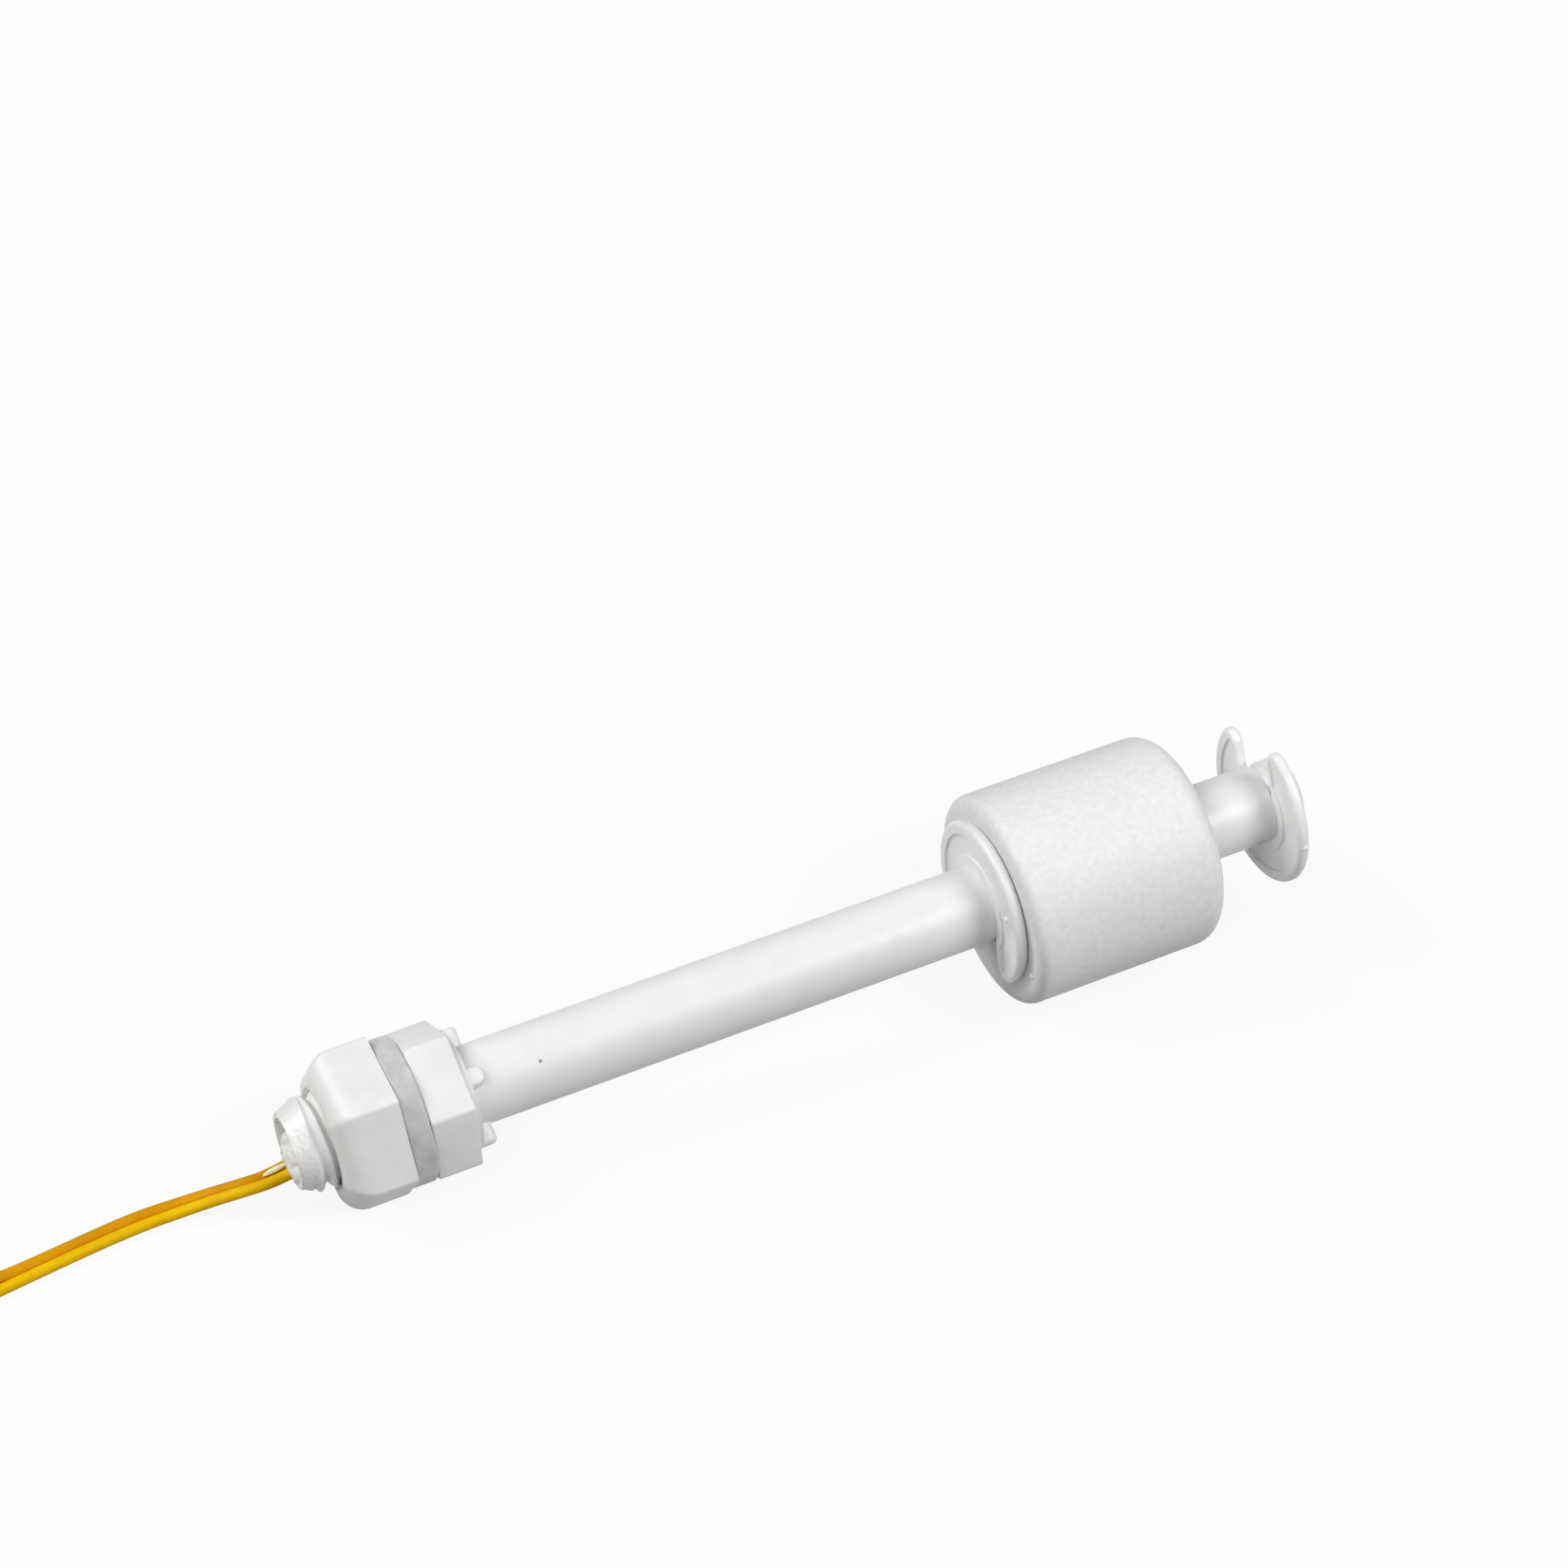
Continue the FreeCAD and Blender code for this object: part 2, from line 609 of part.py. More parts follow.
def main():
    os.makedirs("parts", exist_ok=True)
    float_pieces = ("float_shell", "float_cap", "ring_magnet")
    blades = {-1: reed_blade(-1), 1: reed_blade(1)}
    cores = {-1: inner_core(-1), 1: inner_core(1)}
    stem = stem_body()
    pieces = {
        "stem_body": stem,
        "sealing_gasket": sealing_gasket(),
        "lock_nut": lock_nut(),
        "head_stop_clip": snap_clip(head_clip_face_x - clip_thickness, head_clip_slot_turn),
        "tip_stop_clip": snap_clip(tip_clip_face_x, tip_clip_slot_turn),
        "float_shell": float_shell(),
        "float_cap": float_cap(),
        "ring_magnet": ring_magnet(),
        "reed_glass": reed_glass(),
        "reed_blade_head": blades[-1],
        "reed_blade_tip": blades[1],
        "reed_sleeve": reed_sleeve(),
        "solder_joint_head": solder_joint(-1, [blades[-1], cores[-1]]),
        "solder_joint_tip": solder_joint(1, [blades[1], cores[1]]),
        "potting_plug": potting_plug(stem),
        "lead_a_inner": inner_lead(-1),
        "lead_b_inner": inner_lead(1),
        "lead_a_inner_core": cores[-1],
        "lead_b_inner_core": cores[1],
    }
    place = resting_place()
    sag = Placement(Vector(0, 0, -float_sag), Rotation())
    for name, shape in pieces.items():
        hung = sag if name in float_pieces else Placement()
        shape.Placement = place.multiply(hung).multiply(shape.Placement)
    pieces.update(cord_pieces(place))
    for name, shape in pieces.items():
        print(name, shape.isValid(), len(shape.Solids), round(shape.Volume, 2))
        shape.exportStep("parts/" + name + ".step")
    print("tilt in degrees", round(math.degrees(resting_tilt()), 4))
    print("the sealing face is at", place.Base)
    print("the leads leave the mouth at", place.multVec(Vector(-thread_length, 0, -lead_drop)))


main()
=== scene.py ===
"""Looks of a side-wired float level switch on a pale floor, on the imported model's frame."""
import json
import math
import bpy
from mathutils import Euler, Matrix, Quaternion, Vector

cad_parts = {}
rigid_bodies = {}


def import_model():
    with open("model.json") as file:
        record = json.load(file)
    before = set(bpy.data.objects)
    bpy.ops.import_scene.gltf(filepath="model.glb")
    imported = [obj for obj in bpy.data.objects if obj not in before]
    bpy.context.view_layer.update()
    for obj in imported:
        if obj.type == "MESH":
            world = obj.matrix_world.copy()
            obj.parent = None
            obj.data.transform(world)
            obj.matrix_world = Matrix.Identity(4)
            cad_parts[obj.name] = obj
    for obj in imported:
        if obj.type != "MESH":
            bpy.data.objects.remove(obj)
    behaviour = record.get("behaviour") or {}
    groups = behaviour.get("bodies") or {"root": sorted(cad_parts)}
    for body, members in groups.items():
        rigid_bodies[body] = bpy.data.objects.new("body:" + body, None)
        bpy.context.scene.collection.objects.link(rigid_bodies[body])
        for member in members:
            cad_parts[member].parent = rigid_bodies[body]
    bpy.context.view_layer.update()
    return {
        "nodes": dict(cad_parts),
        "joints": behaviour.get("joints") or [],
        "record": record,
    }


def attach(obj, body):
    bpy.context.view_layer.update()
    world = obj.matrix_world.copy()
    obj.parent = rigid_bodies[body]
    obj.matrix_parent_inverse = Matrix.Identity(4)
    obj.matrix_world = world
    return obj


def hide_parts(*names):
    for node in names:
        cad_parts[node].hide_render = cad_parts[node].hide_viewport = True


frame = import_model()

# Camera
# It stands in front of the switch, a little to the head's side, and looks down on it. It is rolled
# by a few degrees, and a long lens keeps the perspective flat.
mm = 0.001
camera_place = Vector((-133.09, -229.43, 311.52)) * mm
camera_aim = Vector((13.773, 33.10, 0.0)) * mm
camera_roll = math.radians(5.29)
camera_lens = 89.73
sensor_width = 36.0
nearest_view = 0.01
farthest_view = 20.0

lens = bpy.data.cameras.new("camera")
lens.lens = camera_lens
lens.sensor_width = sensor_width
lens.clip_start = nearest_view
lens.clip_end = farthest_view
camera = bpy.data.objects.new("camera", lens)
bpy.context.scene.collection.objects.link(camera)
camera.rotation_mode = "QUATERNION"
camera.location = camera_place
straight_look = (camera_aim - camera_place).to_track_quat("-Z", "Y")
camera.rotation_quaternion = straight_look @ Quaternion((0, 0, 1), camera_roll)
bpy.context.scene.camera = camera

# Leads
# Two thin leads in extruded yellow vinyl. The back one is coloured a darker, more orange copy of
# the same yellow, which is painted shade for where it lies behind the front one. They leave the
# potting side by side and lie on the floor. Their unseen length is put away in one neat coil, lead
# a below and lead b on it.
lead_diameter = 1.2
exit_point = {"a": (-55.6, -0.62, 4.8), "b": (-55.6, 0.62, 4.8)}
coil_centre = Vector((-99.2, 7.4, 0.0))
coil_outer_radius = 8.83
coil_inner_radius = 5.17
coil_points_a_turn = 16
turns_a_layer = 3
lead_a_layers = (1.0, 2.22)
lead_b_layers = (3.44, 4.66)
lead_a_climb_turns = 0.25
lead_b_climb_turns = 0.5
spans_along_lead = 8
spans_round_lead = 5

lead_a_route = [
    exit_point["a"], (-58.2, -0.58, 3.95), (-61.1, -0.03, 3.25), (-64.2, 0.85, 2.15),
    (-67.3, 1.60, 1.0), (-70.6, 1.78, 0.6), (-75.0, 1.32, 0.6), (-82.0, 0.27, 0.6),
    (-88.8, -0.85, 0.6), (-94.8, -1.45, 1.0), (-99.2, -1.43, 1.0),
]
lead_b_route = [
    exit_point["b"], (-58.2, 0.60, 3.70), (-61.1, 1.14, 2.95), (-64.2, 2.03, 1.90),
    (-67.3, 2.80, 0.85), (-70.6, 3.00, 0.6), (-75.0, 2.55, 0.6), (-81.5, 1.55, 0.6),
    (-87.3, 0.70, 0.8), (-92.3, -0.40, 3.4), (-95.8, -1.25, 3.47), (-99.2, -1.43, 3.47),
]
lead_a_tail_route = [
    (-108.03, 7.4, 2.22), (-107.9, 11.6, 2.1), (-106.0, 15.7, 0.9), (-102.1, 18.3, 0.6),
    (-97.8, 19.1, 0.6),
]
lead_b_tail_route = [
    (-99.2, 16.23, 4.66), (-95.5, 16.2, 4.5), (-92.1, 15.0, 2.8), (-89.5, 12.3, 0.6),
    (-88.5, 9.2, 0.6),
]


def coil_turns(low_z, high_z, climb_turns):
    """Turns inwards at low_z, a climb along the eye, then turns outwards at high_z."""
    step = 2 * math.pi / coil_points_a_turn
    reach = 1 / math.cos(step / 2)
    spread = coil_outer_radius - coil_inner_radius
    count = round((2 * turns_a_layer + climb_turns) * coil_points_a_turn)
    points = []
    for k in range(count):
        turned = (k + 0.5) / coil_points_a_turn
        inwards = min(turned / turns_a_layer, 1.0)
        climb = min(max((turned - turns_a_layer) / climb_turns, 0.0), 1.0)
        outwards = max((turned - turns_a_layer - climb_turns) / turns_a_layer, 0.0)
        radius = (coil_outer_radius - spread * inwards + spread * outwards) * reach
        angle = -math.pi / 2 - 2 * math.pi * turned
        height = low_z + (high_z - low_z) * climb
        around = Vector((radius * math.cos(angle), radius * math.sin(angle), height))
        points.append(coil_centre + around)
    return points


def lead_curve(name, points):
    """A round lead along a smooth spline through the pull of its points, in millimetres."""
    curve = bpy.data.curves.new(name, "CURVE")
    curve.dimensions = "3D"
    spline = curve.splines.new("NURBS")
    spline.points.add(len(points) - 1)
    for spot, point in zip(spline.points, points):
        spot.co = (*(Vector(point) * mm), 1.0)
        spot.radius = lead_diameter / 2 * mm
    spline.order_u = 3
    spline.use_endpoint_u = True
    spline.resolution_u = spans_along_lead
    curve.bevel_depth = 1.0
    curve.bevel_resolution = spans_round_lead
    curve.use_fill_caps = True
    lead = bpy.data.objects.new(name, curve)
    bpy.context.scene.collection.objects.link(lead)
    return lead


def plastic(name, light_tone, dark_tone, roughness, clouding, pits, pit_depth, clear=0.0):
    """Plastic with clouded colour, uneven gloss and a fine pitted skin, all in object space.

    The sizes of the clouding and the pits are in millimetres, and clear is how much light sinks in.
    """
    roughness_swing = 0.06
    ramp_start, ramp_end = 0.35, 0.65
    refraction = 1.49
    sinking_depth = 0.6
    look = bpy.data.materials.new(name)
    look.use_nodes = True
    nodes = look.node_tree.nodes
    links = look.node_tree.links
    shader = nodes["Principled BSDF"]
    place = nodes.new("ShaderNodeTexCoord")

    clouds = nodes.new("ShaderNodeTexNoise")
    clouds.inputs["Scale"].default_value = 1 / (clouding * mm)
    clouds.inputs["Detail"].default_value = 4.0
    links.new(place.outputs["Object"], clouds.inputs["Vector"])
    tones = nodes.new("ShaderNodeValToRGB")
    tones.color_ramp.elements[0].position = ramp_start
    tones.color_ramp.elements[1].position = ramp_end
    tones.color_ramp.elements[0].color = dark_tone
    tones.color_ramp.elements[1].color = light_tone
    links.new(clouds.outputs["Fac"], tones.inputs["Fac"])
    links.new(tones.outputs["Color"], shader.inputs["Base Color"])

    gloss = nodes.new("ShaderNodeMapRange")
    gloss.inputs["To Min"].default_value = roughness - roughness_swing
    gloss.inputs["To Max"].default_value = roughness + roughness_swing
    links.new(clouds.outputs["Fac"], gloss.inputs["Value"])
    links.new(gloss.outputs["Result"], shader.inputs["Roughness"])

    pitting = nodes.new("ShaderNodeTexNoise")
    pitting.inputs["Scale"].default_value = 1 / (pits * mm)
    pitting.inputs["Detail"].default_value = 3.0
    links.new(place.outputs["Object"], pitting.inputs["Vector"])
    skin = nodes.new("ShaderNodeBump")
    skin.inputs["Distance"].default_value = pit_depth * mm
    skin.inputs["Strength"].default_value = 1.0
    links.new(pitting.outputs["Fac"], skin.inputs["Height"])
    links.new(skin.outputs["Normal"], shader.inputs["Normal"])

    shader.inputs["IOR"].default_value = refraction
    shader.inputs["Subsurface Weight"].default_value = clear
    shader.inputs["Subsurface Radius"].default_value = (1.0, 0.95, 0.9)
    shader.inputs["Subsurface Scale"].default_value = sinking_depth * mm
    return look


def insulation(name, light_tone, dark_tone):
    """Extruded vinyl that throws back little of the lamps."""
    look = plastic(name, light_tone, dark_tone, roughness=0.42, clouding=3.0, pits=0.9,
                   pit_depth=0.002)
    look.node_tree.nodes["Principled BSDF"].inputs["Specular IOR Level"].default_value = 0.06
    return look


def dress(look, *node_names):
    """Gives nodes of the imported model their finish."""
    for node_name in node_names:
        mesh = frame["nodes"][node_name].data
        mesh.materials.clear()
        mesh.materials.append(look)


lead_a = lead_curve(
    "lead_a", lead_a_route + coil_turns(*lead_a_layers, lead_a_climb_turns) + lead_a_tail_route)
lead_b = lead_curve(
    "lead_b", lead_b_route + coil_turns(*lead_b_layers, lead_b_climb_turns) + lead_b_tail_route)
yellow_look = insulation("lead_a_insulation", (0.86, 0.53, 0.002, 1), (0.82, 0.47, 0.002, 1))
# Lead b's darker, more orange colour is the same yellow vinyl with painted shade, for where it lies
# behind the front lead.
shaded_lead_b_look = insulation("lead_b_insulation_painted_shade", (0.71, 0.34, 0.002, 1), (0.65, 0.29, 0.002, 1))
for lead, letter, look in ((lead_a, "a", yellow_look), (lead_b, "b", shaded_lead_b_look)):
    base_name = "lead_" + letter
    lead.data.materials.append(look)
    dress(look, base_name + "_inner")
    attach(lead, "root")
    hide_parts(base_name + "_tube", base_name + "_coil", base_name + "_tail")

# Stem moulding
# The stem, the threaded head, the hexagonal flange with its low boss and the four lugs are one
# moulding of glossy white polypropylene. The thread fades in on a sloping runout behind a slightly
# rough lip, two grooves take the clips, and a recess marks the tip.
stem_radius = 4.2
stem_tip_x = 100.3
tip_edge = 0.5
tip_edge_points = 6
tip_recess_radius = 2.7
tip_recess_depth = 0.5
wire_bore_radius = 2.7
wire_bore_end_x = 88.0
bore_start_x = -14.0
mouth_radius = 3.5
mouth_end_x = 3.0
clip_groove_radius = 3.5
clip_thickness = 1.3
clip_starts = (63.3, 96.7)
round_facets = 96

flange_across_flats = 13.8
flange_thickness = 4.7
flange_middle_x = flange_thickness / 2
flange_turn = math.radians(23.8)
flange_corner_round = 0.35
flange_rim_round = 0.22
boss_radius = 6.3
boss_end_x = 5.3

lug_count = 4
lug_turn = math.radians(29.4)
lug_width = 2.0
lug_end_x = 7.0
lug_radius = 6.2
lug_foot_x = flange_thickness - 0.5
lug_foot_radius = wire_bore_radius + 0.4
lug_end_round = 0.9
lug_back_round = 0.5

thread_start_x = -13.5
thread_end_x = -13.0
thread_outside_x = thread_end_x - 2
thread_crest_radius = 4.88
thread_flank_radius = 4.62
thread_root_radius = 4.10
thread_pitch = 1.5
thread_turns = 9
thread_facets = 72
ridge_half = thread_pitch * 0.46
crest_half = thread_pitch * 0.10
flank_half = crest_half * 2.2
crest_round = 0.06
ridge_root_sink = 0.15
core_radius = thread_root_radius - 0.1

lip_radius = 3.95
lip_shoulder_x = thread_end_x + 0.4
lip_taper = 2.0
lip_rings = 18
lip_facets = 180
lip_start_x = thread_end_x + 0.03
lip_crest_radius = thread_crest_radius + 0.05
lip_grain = 0.35
lip_roughness = 0.15
lip_smooth_radius = 3.7
runout_radius = 5.1
runout_rise = 0.9
runout_end_x = -10.75
runout_turn = math.radians(8.5)
runout_bearing = math.radians(37.5)

speck_place = Vector((-30.83, -2.53, 12.16)) * mm
speck_radius = 0.19 * mm
speck_core = speck_radius * 0.5
speck_rim = speck_radius * 1.2
speck_tone = (0.20, 0.20, 0.19, 1)

weld_distance = 0.001
pole_weld_distance = 0.0005
close_by = 0.01
smooth_angle = math.radians(32)

# The switch's own axis is X, in millimetres, with the flange's sealing face at x = 0 and the tip on
# the + side. It lies tilted, its tip a little up.
axis = Vector(frame["joints"][0]["axis"])
sealing_face = Vector(frame["record"]["mounts"][0]["pos_m"])
tilt = math.atan2(axis.z, axis.x)
resting_place = Matrix.Translation(sealing_face) @ Euler((0, -tilt, 0)).to_matrix().to_4x4()


def take(piece):
    """Makes a piece the only selected one."""
    bpy.ops.object.select_all(action="DESELECT")
    piece.select_set(True)
    bpy.context.view_layer.objects.active = piece


def open_mesh(piece):
    """Goes into edit mode with all of a piece selected."""
    take(piece)
    bpy.ops.object.mode_set(mode="EDIT")
    bpy.ops.mesh.select_all(action="SELECT")


def close_mesh():
    """Goes back to object mode."""
    bpy.ops.object.mode_set(mode="OBJECT")


def seat(piece, body):
    """Moves a piece from the switch's own millimetres to where it lies, and on its body."""
    take(piece)
    piece.matrix_world = resting_place @ Matrix.Scale(mm, 4)
    bpy.ops.object.transform_apply(location=True, rotation=True, scale=True)
    bpy.ops.object.shade_smooth_by_angle(angle=smooth_angle)
    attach(piece, body)


def place_mesh(piece, stretch=None, turns=(), shift=None):
    """Stretches, turns and then shifts a mesh. A turn is its angle, its axis and its centre."""
    open_mesh(piece)
    if stretch:
        bpy.ops.transform.resize(value=stretch)
    for angle, turn_axis, centre in turns:
        bpy.ops.transform.rotate(value=angle, orient_axis=turn_axis, center_override=centre)
    if shift:
        bpy.ops.transform.translate(value=shift)
    close_mesh()


def weld(piece):
    """Merges doubled points."""
    open_mesh(piece)
    bpy.ops.mesh.remove_doubles(threshold=weld_distance)
    close_mesh()


def tidy_skin(piece):
    """Merges doubled points and turns every face outwards."""
    weld(piece)
    open_mesh(piece)
    bpy.ops.mesh.normals_make_consistent(inside=False)
    close_mesh()


def outline(name, points, closed=False):
    """A chain of edges in the XY plane through (x, radius) points, extruded point by point."""
    bpy.ops.mesh.primitive_plane_add(size=1)
    piece = bpy.context.active_object
    piece.name = name
    bpy.ops.object.mode_set(mode="EDIT")
    bpy.ops.mesh.select_mode(type="VERT")
    bpy.ops.mesh.select_all(action="SELECT")
    bpy.ops.mesh.merge(type="CENTER")
    bpy.ops.transform.translate(value=(points[0][0], points[0][1], 0))
    for before, after in zip(points, points[1:]):
        step = (after[0] - before[0], after[1] - before[1], 0)
        bpy.ops.mesh.extrude_region_move(TRANSFORM_OT_translate={"value": step})
    if closed:
        bpy.ops.mesh.select_all(action="SELECT")
        bpy.ops.mesh.edge_face_add()
    close_mesh()
    return piece


def turn(piece, facets, pitch=0.0, turns=1):
    """Turns an outline about the X axis, or winds it along the axis by its pitch."""
    screw = piece.modifiers.new("turning", "SCREW")
    screw.axis = "X"
    screw.steps = facets
    screw.render_steps = facets
    screw.screw_offset = pitch
    screw.iterations = turns
    screw.use_merge_vertices = pitch == 0.0
    screw.merge_threshold = pole_weld_distance
    take(piece)
    bpy.ops.object.modifier_apply(modifier=screw.name)
    tidy_skin(piece)


def turned(name, points, facets):
    """A solid of revolution about the X axis."""
    piece = outline(name, points)
    turn(piece, facets)
    return piece


def unite(piece, tools, operation="UNION"):
    """Joins the tools to a piece, or cuts it by them, and uses them up."""
    for tool in tools:
        merge = piece.modifiers.new("merge", "BOOLEAN")
        merge.operation = operation
        merge.solver = "EXACT"
        merge.object = tool
        take(piece)
        bpy.ops.object.modifier_apply(modifier=merge.name)
        bpy.data.objects.remove(tool)


def bevel_edges(piece, offset, segments, wanted):
    """Rounds the edges whose two ends together answer to the test."""
    take(piece)
    bpy.ops.object.mode_set(mode="EDIT")
    bpy.ops.mesh.select_all(action="DESELECT")
    bpy.ops.mesh.select_mode(type="EDGE")
    close_mesh()
    points = piece.data.vertices
    for edge in piece.data.edges:
        edge.select = wanted(points[edge.vertices[0]].co, points[edge.vertices[1]].co)
    bpy.ops.object.mode_set(mode="EDIT")
    bpy.ops.mesh.bevel(offset=offset, segments=segments, affect="EDGES")
    close_mesh()


def roughen(piece, grain, depth, wanted):
    """Pushes the points that answer to the test in and out by cloudy lumps."""
    take(piece)
    bpy.ops.object.mode_set(mode="EDIT")
    bpy.ops.mesh.select_mode(type="VERT")
    bpy.ops.mesh.select_all(action="DESELECT")
    close_mesh()
    for point in piece.data.vertices:
        point.select = wanted(point.co)
    piece.vertex_groups.new(name="rough")
    bpy.ops.object.mode_set(mode="EDIT")
    bpy.ops.object.vertex_group_assign()
    close_mesh()
    lumps = bpy.data.textures.new(piece.name + "_lumps", "CLOUDS")
    lumps.noise_scale = grain
    lumps.noise_depth = 2
    push = piece.modifiers.new("lumps", "DISPLACE")
    push.texture = lumps
    push.texture_coords = "LOCAL"
    push.vertex_group = "rough"
    push.mid_level = 0.5
    push.strength = depth
    bpy.ops.object.modifier_apply(modifier=push.name)
    piece.vertex_groups.clear()


def groove(start):
    """The outline of a clip's groove, from its far side to its near side."""
    end = start + clip_thickness
    return [(end, stem_radius), (end, clip_groove_radius),
            (start, clip_groove_radius), (start, stem_radius)]


# The turned body, with its bore for the wires and the reed contact.
tip_angles = [math.radians(18 * k) for k in range(tip_edge_points)]
edge_arc = [(stem_tip_x - tip_edge + tip_edge * math.cos(a),
             stem_radius - tip_edge + tip_edge * math.sin(a)) for a in tip_angles]
tip_outline = [
    (stem_tip_x - tip_recess_depth, 0.0), (stem_tip_x - tip_recess_depth, tip_recess_radius),
    (stem_tip_x, tip_recess_radius),
]
head_outline = [
    (boss_end_x, stem_radius), (boss_end_x, boss_radius), (flange_middle_x, boss_radius),
    (flange_middle_x, thread_root_radius), (lip_shoulder_x, thread_root_radius),
    (thread_end_x, lip_radius), (thread_end_x, 0.0),
]
bore_outline = [
    (bore_start_x, 0.0), (bore_start_x, mouth_radius), (mouth_end_x, mouth_radius),
    (mouth_end_x, wire_bore_radius), (wire_bore_end_x, wire_bore_radius), (wire_bore_end_x, 0.0),
]
grooves = groove(clip_starts[1]) + groove(clip_starts[0])
stem = turned("stem_moulding", tip_outline + edge_arc + grooves + head_outline, round_facets)
unite(stem, [turned("stem_hollow", bore_outline, round_facets)], "DIFFERENCE")

# The hexagonal flange.
bpy.ops.mesh.primitive_cylinder_add(vertices=6, radius=flange_across_flats / math.sqrt(3),
                                    depth=flange_thickness)
flange = bpy.context.active_object
place_mesh(flange, turns=[(math.pi / 2, "Y", (0, 0, 0)), (-flange_turn, "X", (0, 0, 0))],
           shift=(flange_middle_x, 0, 0))
bevel_edges(flange, flange_corner_round, 3, lambda a, b: abs(a.x - b.x) > flange_middle_x)
bevel_edges(flange, flange_rim_round, 3, lambda a, b: abs(a.x - b.x) < close_by)
# The four lugs on its tank side, each rounded at its end and along its back.
lugs = []
for k in range(lug_count):
    bpy.ops.mesh.primitive_cube_add(size=1)
    lug = bpy.context.active_object
    place_mesh(lug, stretch=(lug_end_x - lug_foot_x, lug_radius - lug_foot_radius, lug_width),
               shift=((lug_end_x + lug_foot_x) / 2, (lug_radius + lug_foot_radius) / 2, 0))
    bevel_edges(lug, lug_end_round, 8, lambda a, b: (
        min(a.x, b.x) > lug_end_x - close_by and abs(a.z - b.z) < close_by))
    bevel_edges(lug, lug_back_round, 5, lambda a, b: (
        min(a.y, b.y) > lug_radius - close_by and max(a.x, b.x) > lug_foot_x + close_by))
    tidy_skin(lug)
    place_mesh(lug, turns=[(-(lug_turn + k * 2 * math.pi / lug_count), "X", (0, 0, 0))])
    lugs.append(lug)

# The thread: a wound ridge, closed at both ends, with a sloping runout where it fades in. An
# envelope trims it to the lip's taper, and its core is taken out.
ridge_side = [
    (ridge_half, thread_root_radius - ridge_root_sink), (ridge_half, thread_root_radius),
    (flank_half, thread_flank_radius), (crest_half, thread_crest_radius - crest_round),
]
ridge_profile = [(-x, y) for x, y in ridge_side] + [(0.0, thread_crest_radius)] + ridge_side[::-1]
ridge = outline("thread_ridge", [(x + thread_start_x, y) for x, y in ridge_profile], closed=True)
turn(ridge, thread_facets, thread_pitch, thread_turns)
bpy.ops.object.mode_set(mode="EDIT")
bpy.ops.mesh.select_mode(type="EDGE")
bpy.ops.mesh.select_all(action="DESELECT")
bpy.ops.mesh.select_non_manifold()
bpy.ops.mesh.edge_face_add()
close_mesh()
tidy_skin(ridge)

runout_outline = [
    (thread_outside_x, 0.0), (thread_outside_x, runout_radius),
    (runout_end_x - runout_rise, runout_radius), (runout_end_x, thread_root_radius),
    (runout_end_x, 0.0),
]
runout = turned("thread_runout", runout_outline, round_facets)
place_mesh(runout, turns=[(runout_turn, "Z", (runout_end_x, 0, 0)),
                          (-runout_bearing, "X", (0, 0, 0))])
unite(ridge, [runout])

taper_rings = [(lip_start_x + lip_taper * k / lip_rings,
                lip_radius + (lip_crest_radius - lip_radius) * k / lip_rings)
               for k in range(lip_rings + 1)]
envelope_outline = ([(lip_start_x, 0.0)] + taper_rings
                    + [(flange_middle_x, lip_crest_radius), (flange_middle_x, 0.0)])
core_outline = [
    (thread_outside_x, 0.0), (thread_outside_x, core_radius),
    (flange_thickness, core_radius), (flange_thickness, 0.0),
]
unite(ridge, [turned("thread_envelope", envelope_outline, lip_facets)], "INTERSECT")
unite(ridge, [turned("thread_core", core_outline, round_facets)], "DIFFERENCE")

unite(stem, [flange] + lugs + [ridge])
weld(stem)
roughen(stem, lip_grain, lip_roughness, lambda point: (
    point.x < thread_end_x + lip_taper and point.yz.length > lip_smooth_radius))

# Its plastic holds one dark speck, at its place on the stem.
stem_look = plastic("stem_plastic", (0.86, 0.86, 0.85, 1), (0.83, 0.83, 0.82, 1),
                    roughness=0.36, clouding=3.0, pits=0.35, pit_depth=0.004, clear=0.15)
stem_tree = stem_look.node_tree
stem_place = stem_tree.nodes.new("ShaderNodeTexCoord")
speck_reach = stem_tree.nodes.new("ShaderNodeVectorMath")
speck_reach.operation = "DISTANCE"
speck_reach.inputs[1].default_value = speck_place
speck_edge = stem_tree.nodes.new("ShaderNodeMapRange")
speck_edge.inputs["From Min"].default_value = speck_core
speck_edge.inputs["From Max"].default_value = speck_rim
speck_mix = stem_tree.nodes.new("ShaderNodeMix")
speck_mix.data_type = "RGBA"
speck_mix.inputs[6].default_value = speck_tone
stem_shader = stem_tree.nodes["Principled BSDF"]
stem_tone = stem_shader.inputs["Base Color"].links[0].from_socket
stem_tree.links.new(stem_place.outputs["Object"], speck_reach.inputs[0])
stem_tree.links.new(speck_reach.outputs["Value"], speck_edge.inputs["Value"])
stem_tree.links.new(speck_edge.outputs["Result"], speck_mix.inputs[0])
stem_tree.links.new(stem_tone, speck_mix.inputs[7])
stem_tree.links.new(speck_mix.outputs[2], stem_shader.inputs["Base Color"])
stem.data.materials.append(stem_look)

seat(stem, "root")
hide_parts("stem_body")
